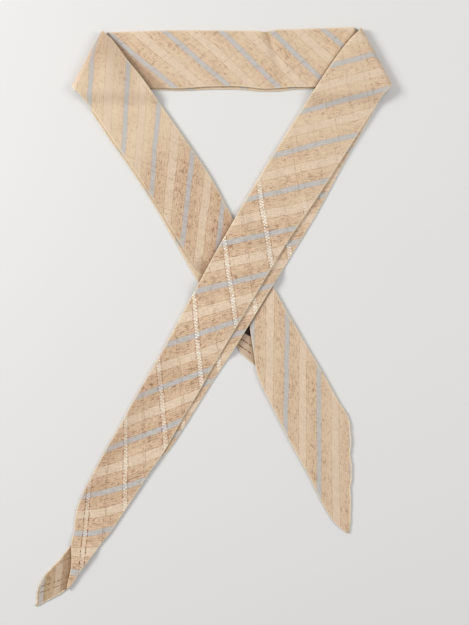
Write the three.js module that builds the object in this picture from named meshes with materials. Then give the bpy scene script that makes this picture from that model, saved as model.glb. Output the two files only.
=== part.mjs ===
// A silk cravat: one hemmed square, folded on its diagonal and folded again into a flat band.
// The band lies on a table as a neck loop, and its tails cross below the loop.
// Millimetres. The table is the plane z = 0 and +Z points up out of it. +Y points to the neck.

import * as THREE from 'three';

// Thickness of the folded band. The layers get fewer towards the tips.
const NECK_THICK = 4.6;
const TAIL_THICK = 4.0;
const CROSSING_THICK = 3.2;

// The next layer, where it shows past the top layers' edge, and its seat under that edge
const LAYER_THICK = 1.3;
const SEAM_GAP = 0.3;
const TUCK = 6;

// Height of a stretch's underside where it lies on another one
const OVER_NECK = NECK_THICK + SEAM_GAP;
const OVER_CROSSING = CROSSING_THICK + SEAM_GAP;
const OVER_LAYER = LAYER_THICK + SEAM_GAP;
const STEP_HEIGHT = OVER_LAYER + 0.15;
const STEP_SHARE = 0.7;

// A stretch that comes down off another one stays level for the margin and lands after the drop.
const LEVEL_MARGIN = 3;
const DROP_LENGTH = 14;
const LEFT_TAIL_LOW_EDGE = -1.5;
const LEFT_TAIL_HIGH_EDGE = 54;

// The rounded fold at each upper corner
const FOLD_HEIGHT = OVER_NECK + TAIL_THICK;
const FOLD_REACH = 4.2;
const FOLD_WALL = 0.3;
const FOLD_STEPS = [0.15, 0.9, 2.2, FOLD_REACH, FOLD_REACH + FOLD_WALL];

// The left fold is not pressed and stands higher near its inner edge.
const PUFF_HEIGHT = 2.4;
const PUFF_ALONG = 8;
const PUFF_ACROSS = 36;
const PUFF_SPREAD = 15;

// Shape of a section: fall of the top from its middle to its edges, and shallow unevenness
const CROWN_FALL = 0.1;
const CROWN_POWER = 3;
const WAVE_DEPTH = 0.3;
const WAVE_ALONG = 21;
const WAVE_ACROSS = 14;

// Side of a thick stretch, from its step up: how far in each point lies from the edge, and its
// share of the height over the step
const LOWER_LIP = { inset: 0, share: 0.25 };
const GROOVE = { inset: 0.5, share: 0.45 };
const UPPER_LIP = { inset: 0.12, share: 0.65 };
const SHOULDER = { inset: 1.5, share: 1 };
const UNDERCUT = 0.35;
const STEP_BACK = 0.7;
const FOOT_BACK = 1.1;
const NARROW_WIDTH = 14;

// Side of a thin layer: how far its lower and upper corners lie in from its lip
const THIN_FOOT_BACK = 0.45;
const THIN_TOP_BACK = 0.55;

// A frame turns (along, across) into table coordinates. Across is positive towards the inner side,
// which is on the left of the way it runs where side is 1 and on the right where side is -1.
const NECK = { x: 0.3, y: 200.7, turn: 0, side: 1 };
const LEFT = { x: -121.9, y: 201.9, turn: -57.3, side: 1 };
const RIGHT = { x: 156.3, y: 203.7, turn: -120.8, side: -1 };

// Each table has a row for each section of a stretch. The section runs straight from its outer
// edge to its inner edge. thick is the height of the layers there. tuck is the depth of the step
// under the outer edge, and show is how far the next layer shows past that edge. parts is the
// number of slices up to the next row.

// The neck stretch. Outer is its lower edge. The three close rows are the soft diagonal crease.
const neckRows = [
  { outerAlong: -118.2, outer: 0.6, innerAlong: -93.0, inner: 48.4, thick: 4.3, tuck: 0, parts: 2 },
  { outerAlong: -85, outer: 0.0, innerAlong: -62, inner: 49.4, thick: 4.5, tuck: 0, parts: 2 },
  { outerAlong: -64, outer: -0.2, innerAlong: -45, inner: 49.9, thick: 4.6, tuck: 6, show: 0.6, parts: 2 },
  { outerAlong: -29.5, outer: -0.8, innerAlong: -20, inner: 50.1, thick: 4.5, tuck: 6, show: 1.5, parts: 2 },
  { outerAlong: -4, outer: 0.8, innerAlong: 2, inner: 50.1, thick: 4.6, tuck: 6, show: 2.2, parts: 2 },
  { outerAlong: 25, outer: 0.8, innerAlong: 22, inner: 49.8, thick: 4.4, tuck: 6, show: 2.4, parts: 2 },
  { outerAlong: 45.8, outer: -1.2, innerAlong: 37, inner: 49.7, thick: 4.6, tuck: 6, show: 1.9, parts: 1 },
  { outerAlong: 56.5, outer: -0.6, innerAlong: 42, inner: 49.2, thick: 4.5, tuck: 6, show: 2.3, parts: 1 },
  { outerAlong: 61, outer: -0.2, innerAlong: 45.8, inner: 48.6, thick: 3.6, tuck: 6, show: 2.1, parts: 1 },
  { outerAlong: 65.5, outer: 0.2, innerAlong: 50, inner: 49.9, thick: 4.6, tuck: 6, show: 1.9, parts: 2 },
  { outerAlong: 80, outer: 0.4, innerAlong: 68, inner: 51.0, thick: 4.5, tuck: 6, show: 1.2, parts: 2 },
  { outerAlong: 96, outer: 0.5, innerAlong: 82, inner: 51.5, thick: 4.6, tuck: 6, show: 0.5, parts: 2 },
  { outerAlong: 122, outer: 1.4, innerAlong: 102, inner: 52.3, thick: 4.5, tuck: 0, parts: 2 },
  { outerAlong: 150.3, outer: 2.8, innerAlong: 123.2, inner: 52.9, thick: 4.3, tuck: 0, parts: 0 },
];

// The left tail from its corner fold. Its outer edge draws back at the pocket below the crossing,
// and the rows from 376 on follow the wavy slanted hem.
const leftFold = { outerAlong: -1.2, outer: -1.4, innerAlong: -27.3, inner: 46.2, thick: TAIL_THICK };
const leftRows = [
  { outerAlong: 6, outer: -0.4, innerAlong: -18, inner: 49.6, thick: 4.0, tuck: 0, parts: 1 },
  { outerAlong: 12, outer: 0.6, innerAlong: -8, inner: 50.8, thick: 4.0, tuck: 0, parts: 2 },
  { outerAlong: 19, outer: 1.4, innerAlong: 6, inner: 51.6, thick: 4.0, tuck: 0, parts: 1 },
  { outerAlong: 25, outer: 1.8, innerAlong: 16, inner: 52.8, thick: 4.0, tuck: 6, show: 1.2, parts: 1 },
  { outerAlong: 31, outer: 2.2, innerAlong: 25, inner: 53.8, thick: 4.0, tuck: 6, show: 1.7, parts: 2 },
  { outerAlong: 42, outer: 2.5, innerAlong: 41, inner: 54.7, thick: 4.0, tuck: 6, show: 1.7, parts: 2 },
  { outerAlong: 57, outer: 2.7, innerAlong: 57, inner: 55.2, thick: 3.9, tuck: 6, show: 1.7, parts: 2 },
  { outerAlong: 82, outer: 4.0, innerAlong: 82, inner: 56.3, thick: 3.8, tuck: 6, show: 1.8, parts: 2 },
  { outerAlong: 108, outer: 4.5, innerAlong: 108, inner: 57.3, thick: 3.6, tuck: 6, show: 1.9, parts: 2 },
  { outerAlong: 132, outer: 4.4, innerAlong: 132, inner: 57.5, thick: 3.4, tuck: 6, show: 2.1, parts: 2 },
  { outerAlong: 160, outer: 3.8, innerAlong: 158, inner: 55.6, thick: 3.2, tuck: 6, show: 3.1, parts: 2 },
  { outerAlong: 181, outer: 3.7, innerAlong: 178, inner: 54.0, thick: 3.2, tuck: 6, show: 4.1, parts: 1 },
  { outerAlong: 198, outer: 4.6, innerAlong: 198, inner: 53.2, thick: 3.2, tuck: 6, show: 5.9, parts: 1 },
  { outerAlong: 206, outer: 5.8, innerAlong: 206, inner: 52.9, thick: 3.2, tuck: 6, show: 7.0, parts: 1 },
  { outerAlong: 212, outer: 7.0, innerAlong: 212, inner: 52.7, thick: 3.2, tuck: 0, parts: 1 },
  { outerAlong: 228, outer: 11.5, innerAlong: 228, inner: 52.2, thick: 3.2, tuck: 0, parts: 1 },
  { outerAlong: 242, outer: 15.0, innerAlong: 242, inner: 51.6, thick: 3.2, tuck: 6, show: 17.0, parts: 1 },
  { outerAlong: 259, outer: 15.9, innerAlong: 260, inner: 50.4, thick: 3.2, tuck: 6, show: 18.2, parts: 1 },
  { outerAlong: 268, outer: 12.0, innerAlong: 268, inner: 49.9, thick: 3.2, tuck: 6, show: 14.6, parts: 1 },
  { outerAlong: 276, outer: 8.5, innerAlong: 276, inner: 49.5, thick: 3.2, tuck: 6, show: 11.9, parts: 1 },
  { outerAlong: 282, outer: 5.9, innerAlong: 282, inner: 49.3, thick: 3.1, tuck: 6, show: 7.3, parts: 1 },
  { outerAlong: 288.5, outer: 2.9, innerAlong: 288.5, inner: 49.0, thick: 3.1, tuck: 6, show: 2.1, parts: 1 },
  { outerAlong: 297, outer: -0.6, innerAlong: 298, inner: 48.6, thick: 3.0, tuck: 0, parts: 1 },
  { outerAlong: 310, outer: -3.3, innerAlong: 312, inner: 48.2, thick: 2.9, tuck: 0, parts: 2 },
  { outerAlong: 333, outer: -5.8, innerAlong: 333, inner: 47.3, thick: 2.7, tuck: 0, parts: 2 },
  { outerAlong: 356, outer: -8.3, innerAlong: 356, inner: 45.8, thick: 2.5, tuck: 0, parts: 2 },
  { outerAlong: 376, outer: -9.8, innerAlong: 376.5, inner: 44.7, thick: 2.3, tuck: 0, parts: 1 },
  { outerAlong: 386, outer: -10.5, innerAlong: 386, inner: 39.5, thick: 2.2, tuck: 0, parts: 1 },
  { outerAlong: 394, outer: -11.0, innerAlong: 394, inner: 35.5, thick: 2.1, tuck: 0, parts: 1 },
  { outerAlong: 402, outer: -11.7, innerAlong: 401, inner: 29.1, thick: 2.0, tuck: 0, parts: 1 },
  { outerAlong: 412, outer: -13.0, innerAlong: 412, inner: 24.5, thick: 1.9, tuck: 0, parts: 1 },
  { outerAlong: 421, outer: -14.0, innerAlong: 421, inner: 18.2, thick: 1.8, tuck: 0, parts: 1 },
  { outerAlong: 427, outer: -14.7, innerAlong: 426.5, inner: 13.1, thick: 1.7, tuck: 0, parts: 1 },
  { outerAlong: 434, outer: -15.0, innerAlong: 433.5, inner: 9.6, thick: 1.7, tuck: 0, parts: 1 },
  { outerAlong: 445, outer: -14.5, innerAlong: 445, inner: 1.8, thick: 1.6, tuck: 0, parts: 1 },
  { outerAlong: 453, outer: -12.4, innerAlong: 453, inner: -3.5, thick: 1.5, tuck: 0, parts: 1 },
  { outerAlong: 459, outer: -10.0, innerAlong: 458.5, inner: -8.0, thick: 1.4, tuck: 0, parts: 0 },
];

// The right tail from its corner fold. Its sections lie nearly along the left tail's edges where it
// passes over them. The last rows narrow to the fold of the turned tip.
const rightFold = { outerAlong: 0, outer: 0, innerAlong: -29, inner: 48.8, thick: TAIL_THICK };
const rightRows = [
  { outerAlong: 13, outer: 1.8, innerAlong: -16, inner: 51.2, thick: 4.0, tuck: 0, parts: 2 },
  { outerAlong: 24, outer: 2.1, innerAlong: -5, inner: 53.0, thick: 4.0, tuck: 6, show: 0.3, parts: 3 },
  { outerAlong: 40, outer: 2.7, innerAlong: 11, inner: 54.5, thick: 4.0, tuck: 6, show: 1.3, parts: 4 },
  { outerAlong: 62, outer: 3.4, innerAlong: 33, inner: 55.6, thick: 3.9, tuck: 6, show: 2.5, parts: 4 },
  { outerAlong: 85, outer: 4.1, innerAlong: 56, inner: 56.3, thick: 3.8, tuck: 6, show: 3.6, parts: 2 },
  { outerAlong: 108, outer: 4.8, innerAlong: 79, inner: 57.0, thick: 3.7, tuck: 6, show: 5.6, parts: 2 },
  { outerAlong: 130, outer: 5.8, innerAlong: 101.5, inner: 57.5, thick: 3.6, tuck: 6, show: 7.4, parts: 2 },
  { outerAlong: 150, outer: 7.0, innerAlong: 122, inner: 57.9, thick: 3.5, tuck: 6, show: 8.5, parts: 1 },
  { outerAlong: 162, outer: 7.6, innerAlong: 134, inner: 58.0, thick: 3.5, tuck: 6, show: 8.9, parts: 3 },
  { outerAlong: 176, outer: 7.9, innerAlong: 148, inner: 58.0, thick: 3.4, tuck: 6, show: 9.1, parts: 4 },
  { outerAlong: 190, outer: 8.0, innerAlong: 162, inner: 58.0, thick: 3.4, tuck: 6, show: 9.0, parts: 3 },
  { outerAlong: 206, outer: 8.0, innerAlong: 178, inner: 57.8, thick: 3.4, tuck: 6, show: 8.8, parts: 3 },
  { outerAlong: 258, outer: 8.0, innerAlong: 231, inner: 56.2, thick: 3.3, tuck: 6, show: 8.5, parts: 3 },
  { outerAlong: 272, outer: 8.0, innerAlong: 246, inner: 55.5, thick: 3.3, tuck: 6, show: 8.0, parts: 4 },
  { outerAlong: 287, outer: 7.9, innerAlong: 263, inner: 54.8, thick: 3.2, tuck: 6, show: 7.0, parts: 2 },
  { outerAlong: 300, outer: 7.7, innerAlong: 279, inner: 54.1, thick: 3.1, tuck: 6, show: 6.1, parts: 1 },
  { outerAlong: 320, outer: 7.1, innerAlong: 303, inner: 53.0, thick: 3.0, tuck: 6, show: 5.1, parts: 2 },
  { outerAlong: 345, outer: 7.4, innerAlong: 332, inner: 52.6, thick: 2.9, tuck: 6, show: 5.1, parts: 2 },
  { outerAlong: 366, outer: 6.6, innerAlong: 358, inner: 52.2, thick: 2.8, tuck: 6, show: 3.6, parts: 1 },
  { outerAlong: 377, outer: 6.5, innerAlong: 372, inner: 51.6, thick: 2.8, tuck: 6, show: 2.6, parts: 1 },
  { outerAlong: 384, outer: 6.7, innerAlong: 380, inner: 51.4, thick: 2.8, tuck: 6, show: 0.3, parts: 1 },
  { outerAlong: 400, outer: 8.2, innerAlong: 399, inner: 51.3, thick: 2.7, tuck: 0, parts: 2 },
  { outerAlong: 422, outer: 8.7, innerAlong: 422, inner: 50.4, thick: 2.5, tuck: 0, parts: 2 },
  { outerAlong: 441, outer: 9.7, innerAlong: 441, inner: 49.4, thick: 2.4, tuck: 0, parts: 1 },
  { outerAlong: 455, outer: 10.3, innerAlong: 455, inner: 47.6, thick: 2.2, tuck: 0, parts: 1 },
  { outerAlong: 465, outer: 10.8, innerAlong: 465, inner: 45.0, thick: 2.1, tuck: 0, parts: 2 },
  { outerAlong: 478, outer: 12.8, innerAlong: 478, inner: 39.2, thick: 1.9, tuck: 0, parts: 4 },
  { outerAlong: 490, outer: 14.0, innerAlong: 490, inner: 34.8, thick: 1.8, tuck: 0, parts: 2 },
  { outerAlong: 501, outer: 15.0, innerAlong: 501, inner: 28.0, thick: 1.6, tuck: 0, parts: 2 },
  { outerAlong: 512, outer: 16.1, innerAlong: 512, inner: 22.9, thick: 1.5, tuck: 0, parts: 1 },
  { outerAlong: 519, outer: 16.2, innerAlong: 519, inner: 20.8, thick: 1.4, tuck: 0, parts: 1 },
  { outerAlong: 525.5, outer: 17.4, innerAlong: 525, inner: 18.9, thick: 1.3, tuck: 0, parts: 0 },
];

// The turned tip in the right tail's frame. It starts under the tail's end, which rises onto it.
const TIP_RISE_START = 478;
const TIP_RISE_END = 490;
const tipRows = [
  { outerAlong: 491.5, outer: 16.5, innerAlong: 491.5, inner: 34.9, parts: 1 },
  { outerAlong: 499, outer: 17.0, innerAlong: 499, inner: 35.8, parts: 1 },
  { outerAlong: 507, outer: 17.6, innerAlong: 507, inner: 36.9, parts: 1 },
  { outerAlong: 517, outer: 17.8, innerAlong: 517, inner: 39.4, parts: 1 },
  { outerAlong: 526, outer: 18.2, innerAlong: 526, inner: 41.2, parts: 1 },
  { outerAlong: 533, outer: 21.2, innerAlong: 533.5, inner: 41.2, parts: 1 },
  { outerAlong: 539, outer: 25.0, innerAlong: 539.5, inner: 39.8, parts: 1 },
  { outerAlong: 545, outer: 28.8, innerAlong: 545, inner: 37.6, parts: 1 },
  { outerAlong: 549.5, outer: 31.0, innerAlong: 549, inner: 34.8, parts: 1 },
  { outerAlong: 552.5, outer: 33.6, innerAlong: 552, inner: 34.8, parts: 0 },
];

// Colours of the dyed silk, faded paler on the neck and the left tail
const CREAM = 0xdcc8a8;
const TAN = 0xcfb391;
const REVERSE = 0xb39f7e;
const SILK_ROUGHNESS = 0.55;

/** Turns a point of a frame into table coordinates. */
function toTable(frame, along, across) {
  const turn = THREE.MathUtils.degToRad(frame.turn);
  const ways = [Math.cos(turn), Math.sin(turn)];
  return {
    x: frame.x + along * ways[0] - frame.side * across * ways[1],
    y: frame.y + along * ways[1] + frame.side * across * ways[0],
  };
}

/** Turns table coordinates into a point of a frame. */
function fromTable(frame, x, y) {
  const turn = THREE.MathUtils.degToRad(frame.turn);
  const ways = [Math.cos(turn), Math.sin(turn)];
  const away = [x - frame.x, y - frame.y];
  return {
    along: away[0] * ways[0] + away[1] * ways[1],
    across: frame.side * (away[1] * ways[0] - away[0] * ways[1]),
  };
}

/** Level inside zero, then a smooth fall to 0 over the drop length. */
function drop(outside) {
  return 1 - THREE.MathUtils.smoothstep(outside - LEVEL_MARGIN, 0, DROP_LENGTH);
}

/** Height of the neck stretch's bed under a tail. It ends at the neck's lower edge. */
function overNeck(x, y) {
  return OVER_NECK * drop(NECK.y - y);
}

/** Height of the left tail's bed under the right tail, all along the left tail. */
function overLeftTail(x, y) {
  const place = fromTable(LEFT, x, y);
  const outside = Math.max(LEFT_TAIL_LOW_EDGE - place.across, place.across - LEFT_TAIL_HIGH_EDGE);
  return OVER_CROSSING * drop(outside);
}

/** Height of the turned tip's bed under the end of the right tail. */
function overTip(x, y) {
  const place = fromTable(RIGHT, x, y);
  return OVER_LAYER * THREE.MathUtils.smoothstep(place.along, TIP_RISE_START, TIP_RISE_END);
}

/** Sections between the rows of a table. The edges are smooth curves through the rows. */
function cutSlices(rows) {
  const edge = (along, across) =>
    new THREE.CatmullRomCurve3(rows.map((row) => new THREE.Vector3(row[along], row[across], 0)));
  const outerEdge = edge('outerAlong', 'outer');
  const innerEdge = edge('innerAlong', 'inner');
  const slices = [];
  rows.forEach((row, index) => {
    const next = rows[Math.min(index + 1, rows.length - 1)];
    const blend = (name, part) =>
      (part === 0 ? row[name] : THREE.MathUtils.lerp(row[name], next[name], part));
    for (let part = 0; part < Math.max(row.parts, 1); part += 1) {
      const share = row.parts > 0 ? part / row.parts : 0;
      const place = (index + share) / (rows.length - 1);
      slices.push({
        outer: outerEdge.getPoint(place),
        inner: innerEdge.getPoint(place),
        thick: blend('thick', share),
        tuck: blend('tuck', share),
        show: blend('show', share),
      });
    }
  });
  return slices;
}

/** A corner fold: slices parallel to the fold line, each further in from it. */
function foldSlices(fold) {
  const rise = fold.inner - fold.outer;
  const run = fold.innerAlong - fold.outerAlong;
  const slant = rise / Math.hypot(rise, run);
  return FOLD_STEPS.map((step) => {
    const shift = step / slant;
    return {
      outer: new THREE.Vector3(fold.outerAlong + shift, fold.outer, 0),
      inner: new THREE.Vector3(fold.innerAlong + shift, fold.inner, 0),
      thick: fold.thick,
      tuck: 0,
      show: NaN,
    };
  });
}

/** Distance of a point from a corner's fold line, into the tail. */
function fromFold(frame, fold, x, y) {
  const place = fromTable(frame, x, y);
  const rise = fold.inner - fold.outer;
  const run = fold.innerAlong - fold.outerAlong;
  const line = fold.outerAlong + (run * (place.across - fold.outer)) / rise;
  return ((place.along - line) * rise) / Math.hypot(rise, run);
}

/** Half the height of the rounded fold at a distance from the fold line: a quarter of an ellipse. */
function foldHalf(distance) {
  const back = THREE.MathUtils.clamp(1 - distance / FOLD_REACH, 0, 1);
  return (FOLD_HEIGHT / 2) * Math.sqrt(1 - back * back);
}

/** Top of a section over its bed: crowned, a little uneven and lower at the edges. */
function crowned(frame, slice, x, y, share) {
  const place = fromTable(frame, x, y);
  const crown = 1 - CROWN_FALL * Math.abs(2 * share - 1) ** CROWN_POWER;
  const wave = Math.sin(place.along / WAVE_ALONG) * Math.cos(place.across / WAVE_ACROSS);
  return slice.thick * crown - WAVE_DEPTH * (0.5 + 0.5 * wave);
}

/** Edge of a thick stretch: a step for the next layer below, then two lips with a groove. */
function layeredEdge(height, tuck) {
  const step = Math.min(STEP_HEIGHT, STEP_SHARE * height);
  const point = ({ inset, share }) => [inset, step + share * (height - step)];
  return {
    lower: [point(LOWER_LIP), [UNDERCUT, step], [STEP_BACK + tuck, step], [FOOT_BACK + tuck, 0]],
    upper: [point(LOWER_LIP), point(GROOVE), point(UPPER_LIP), point(SHOULDER)],
  };
}

/** Edge of a thin layer: one rounded lip. */
function plainEdge(height) {
  return {
    lower: [[0, height / 2], [THIN_FOOT_BACK, 0]],
    upper: [[0, height / 2], [THIN_TOP_BACK, height]],
  };
}

/** Closed solid through the slices. lower and upper give the heights, edge gives the side profile. */
function loft(frame, slices, { lower, upper, edge, middle }) {
  const positions = [];
  slices.forEach((slice) => {
    const width = slice.inner.y - slice.outer.y;
    const slope = (slice.inner.x - slice.outer.x) / width;
    const small = Math.min(1, width / NARROW_WIDTH);
    const at = (inset) => toTable(frame, slice.outer.x + slope * inset, slice.outer.y + inset);
    const height = (inset) => {
      const point = at(inset);
      return upper(slice, point.x, point.y, inset / width) - lower(slice, point.x, point.y);
    };
    const shoulder = SHOULDER.inset * small;
    const outerSide = edge(height(shoulder), slice.tuck);
    const innerSide = edge(height(width - shoulder), 0);
    const push = (inset, rise) => {
      const point = at(inset);
      positions.push(point.x, point.y, lower(slice, point.x, point.y) + rise);
    };
    const chain = (name, top) => {
      const first = outerSide[name];
      const last = innerSide[name].toReversed();
      const start = first.at(-1)[0] * small;
      const end = width - last[0][0] * small;
      first.forEach(([inset, rise]) => push(inset * small, rise));
      for (let index = 1; index <= middle; index += 1) {
        const inset = THREE.MathUtils.lerp(start, end, index / (middle + 1));
        push(inset, top ? height(inset) : 0);
      }
      last.forEach(([inset, rise]) => push(width - inset * small, rise));
    };
    chain('lower', false);
    chain('upper', true);
  });
  return stitch(positions, slices.length);
}

/** Joins the slices' lower and upper chains into one closed skin with its faces outwards. */
function stitch(positions, sliceCount) {
  const ring = positions.length / 3 / sliceCount;
  const chain = ring / 2;
  const index = [];
  const low = (slice, point) => slice * ring + point;
  const high = (slice, point) => (point === 0 || point === chain - 1
    ? low(slice, point) : slice * ring + chain + point);
  const quad = (a, b, c, d) => index.push(a, b, c, a, c, d);
  for (let slice = 0; slice < sliceCount - 1; slice += 1) {
    for (let point = 0; point < chain - 1; point += 1) {
      quad(low(slice, point), low(slice, point + 1), low(slice + 1, point + 1), low(slice + 1, point));
      quad(high(slice, point + 1), high(slice, point), high(slice + 1, point), high(slice + 1, point + 1));
    }
  }
  for (let point = 0; point < chain - 1; point += 1) {
    const end = sliceCount - 1;
    quad(low(0, point), high(0, point), high(0, point + 1), low(0, point + 1));
    quad(low(end, point + 1), high(end, point + 1), high(end, point), low(end, point));
  }
  const corners = (face) => [0, 1, 2].map((corner) => index[face * 3 + corner]);
  const vertex = (number) => new THREE.Vector3().fromArray(positions, number * 3);
  const faces = Array.from({ length: index.length / 3 }, (_, face) => corners(face))
    .filter(([a, b, c]) => a !== b && b !== c && c !== a);
  const volume = faces.reduce((sum, [a, b, c]) => sum + vertex(a).dot(vertex(b).cross(vertex(c))), 0);
  const outwards = volume > 0 ? faces : faces.map(([a, b, c]) => [a, c, b]);
  const geometry = new THREE.BufferGeometry();
  geometry.setAttribute('position', new THREE.Float32BufferAttribute(positions, 3));
  geometry.setIndex(outwards.flat());
  const solid = geometry.toNonIndexed();
  solid.computeVertexNormals();
  return solid;
}

const cravat = new THREE.Group();

/** Adds a named stretch of silk to the cravat. */
function addStretch(name, geometry, color) {
  const silk = new THREE.MeshStandardMaterial({ color, roughness: SILK_ROUGHNESS, metalness: 0 });
  const mesh = new THREE.Mesh(geometry, silk);
  mesh.name = name;
  cravat.add(mesh);
}

/** A thick stretch of the band over its bed, with its corner fold first where it has one. */
function bandStretch(frame, rows, { bed, fold, puff = () => 0 }) {
  const slices = [...(fold ? foldSlices(fold) : []), ...cutSlices(rows)];
  const inFold = (x, y) => fold && fromFold(frame, fold, x, y) < FOLD_REACH + FOLD_WALL / 2;
  const lower = (slice, x, y) => (inFold(x, y)
    ? FOLD_HEIGHT / 2 - foldHalf(fromFold(frame, fold, x, y)) : bed(x, y));
  const upper = (slice, x, y, share) => (inFold(x, y)
    ? FOLD_HEIGHT / 2 + foldHalf(fromFold(frame, fold, x, y)) - WAVE_DEPTH
    : bed(x, y) + crowned(frame, slice, x, y, share) + puff(x, y));
  return loft(frame, slices, { lower, upper, edge: layeredEdge, middle: 7 });
}

/** The next layer where it shows: from the step under a stretch's outer edge out past that edge. */
function underLayer(frame, rows, bed, [start, end] = [-Infinity, Infinity]) {
  const shows = ({ outer, show }) => Number.isFinite(show) && outer.x > start && outer.x < end;
  const strips = cutSlices(rows).filter(shows).map(({ outer, inner, show }) => {
    const slope = (inner.x - outer.x) / (inner.y - outer.y);
    const along = (inset) => new THREE.Vector3(outer.x + slope * inset, outer.y + inset, 0);
    return { outer: along(-show), inner: along(TUCK - SEAM_GAP) };
  });
  const lower = (slice, x, y) => bed(x, y);
  const upper = (slice, x, y) => bed(x, y) + LAYER_THICK;
  return loft(frame, strips, { lower, upper, edge: plainEdge, middle: 2 });
}

/** The left fold's soft bulge near its inner edge. */
function leftPuff(x, y) {
  const place = fromTable(LEFT, x, y);
  const away = Math.hypot(place.along - PUFF_ALONG, place.across - PUFF_ACROSS) / PUFF_SPREAD;
  return PUFF_HEIGHT * Math.exp(-away * away);
}

const table = () => 0;
const leftBed = overNeck;
const rightBed = (x, y) => Math.max(overNeck(x, y), overLeftTail(x, y), overTip(x, y));
const ABOVE_CROSSING = [0, 208];
const POCKET = [240, 290];

addStretch('neck_stretch', bandStretch(NECK, neckRows, { bed: table }), CREAM);
addStretch('neck_under_layer', underLayer(NECK, neckRows, table), CREAM);
addStretch('left_tail', bandStretch(LEFT, leftRows, { bed: leftBed, fold: leftFold, puff: leftPuff }), CREAM);
addStretch('left_tail_under_layer', underLayer(LEFT, leftRows, leftBed, ABOVE_CROSSING), CREAM);
addStretch('left_tail_inner_fold', underLayer(LEFT, leftRows, leftBed, POCKET), REVERSE);
addStretch('right_tail', bandStretch(RIGHT, rightRows, { bed: rightBed, fold: rightFold }), TAN);
addStretch('right_tail_under_layer', underLayer(RIGHT, rightRows, rightBed), TAN);
addStretch(
  'right_tail_turned_tip',
  loft(RIGHT, cutSlices(tipRows), {
    lower: () => 0,
    upper: () => LAYER_THICK,
    edge: plainEdge,
    middle: 3,
  }),
  REVERSE,
);

export default cravat;
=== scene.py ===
"""Silk cravat laid flat: a bias-folded plaid silk square with its two tails crossed below the neck.

Lengths in the tables are millimetres, and meshes are metres. +Z points up out of the table.
"""

import math

import bpy
import numpy as np
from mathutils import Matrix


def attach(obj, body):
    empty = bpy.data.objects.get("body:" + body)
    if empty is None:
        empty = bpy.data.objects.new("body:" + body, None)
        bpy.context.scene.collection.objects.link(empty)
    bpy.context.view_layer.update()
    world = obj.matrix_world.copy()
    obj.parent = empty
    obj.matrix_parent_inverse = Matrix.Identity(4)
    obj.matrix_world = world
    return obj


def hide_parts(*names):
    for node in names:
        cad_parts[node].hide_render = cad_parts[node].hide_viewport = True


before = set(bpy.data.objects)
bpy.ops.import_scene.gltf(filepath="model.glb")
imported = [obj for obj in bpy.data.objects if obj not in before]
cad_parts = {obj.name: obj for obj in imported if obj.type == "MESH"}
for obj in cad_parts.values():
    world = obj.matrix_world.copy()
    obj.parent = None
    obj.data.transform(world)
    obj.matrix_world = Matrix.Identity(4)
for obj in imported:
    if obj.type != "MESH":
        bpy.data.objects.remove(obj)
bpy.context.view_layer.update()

MM = 0.001

bl_info = {
    "name": "Silk cravat",
    "version": (1, 0, 0),
    "blender": (4, 5, 0),
    "location": "3D View > Sidebar > Cravat",
    "description": "Folded silk of a cravat, with its woven stripes, floor, light and camera",
    "category": "Object",
}

# Height of each kind of stretch, the gap between stretches, how far the next layer is tucked in, and how
# far the lowest ply clears the table
NECK_THICK = 4.6
TAIL_THICK = 4.0
CROSSING_THICK = 3.2
LAYER_THICK = 1.3
SEAM_GAP = 0.3
TUCK = 6.0
OFF_TABLE = 0.02

# Height of a stretch's bed where it lies on another one, and where and how it comes down beside it
OVER_NECK = NECK_THICK + SEAM_GAP
OVER_CROSSING = CROSSING_THICK + SEAM_GAP
OVER_LAYER = LAYER_THICK + SEAM_GAP
LEVEL_MARGIN = 3.0
DROP_LENGTH = 14.0
LEFT_TAIL_LOW_EDGE = -1.5
LEFT_TAIL_HIGH_EDGE = 54.0
TIP_RISE_START = 478.0
TIP_RISE_END = 490.0

# The rounded fold at each upper corner: its height, how far its nose reaches out, how much cloth one
# radian of it takes, its rows, and how far from it the crown and the unevenness come in
FOLD_HEIGHT = OVER_NECK + TAIL_THICK
FOLD_REACH = 4.2
FOLD_ARC = 4.3
FOLD_ROWS = 15
FOLD_SETTLE = 16

# The unpressed left corner: where its bulge is, along and across, how wide it is and how high
PUFF_ALONG = 8
PUFF_ACROSS = 36
PUFF_SPREAD = 15
PUFF_HEIGHT = 3.4

# A frame turns (along, across) of a stretch into table coordinates.
FRAMES = {
    "neck": {"x": 0.3, "y": 200.7, "turn": 0.0, "side": 1},
    "left": {"x": -121.9, "y": 201.9, "turn": -57.3, "side": 1},
    "right": {"x": 156.3, "y": 203.7, "turn": -120.8, "side": -1},
}

# Columns of the row tables: along and across of the outer edge, along and across of the inner edge,
# height of the layers, depth of the step under the outer edge, and how far the next layer shows.
NECK_ROWS = np.array([
    (-118.2, 0.6, -93.0, 48.4, 4.3, 0, 0),
    (-85, 0.0, -62, 49.4, 4.5, 0, 0),
    (-64, -0.2, -45, 49.9, 4.6, 6, 0.6),
    (-29.5, -0.8, -20, 50.1, 4.5, 6, 1.5),
    (-4, 0.8, 2, 50.1, 4.6, 6, 2.2),
    (25, 0.8, 22, 49.8, 4.4, 6, 2.4),
    (45.8, -1.2, 37, 49.7, 4.6, 6, 1.9),
    (56.5, -0.6, 42, 49.2, 4.5, 6, 2.3),
    (61, -0.2, 45.8, 48.6, 4.3, 6, 2.1),
    (65.5, 0.2, 50, 49.9, 4.6, 6, 1.9),
    (80, 0.4, 68, 51.0, 4.5, 6, 1.2),
    (96, 0.5, 82, 51.5, 4.6, 6, 0.5),
    (122, 1.4, 102, 52.3, 4.5, 0, 0),
    (150.3, 2.8, 123.2, 52.9, 4.3, 0, 0),
])
LEFT_FOLD = (-1.2, -1.4, -27.3, 46.2)
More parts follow.
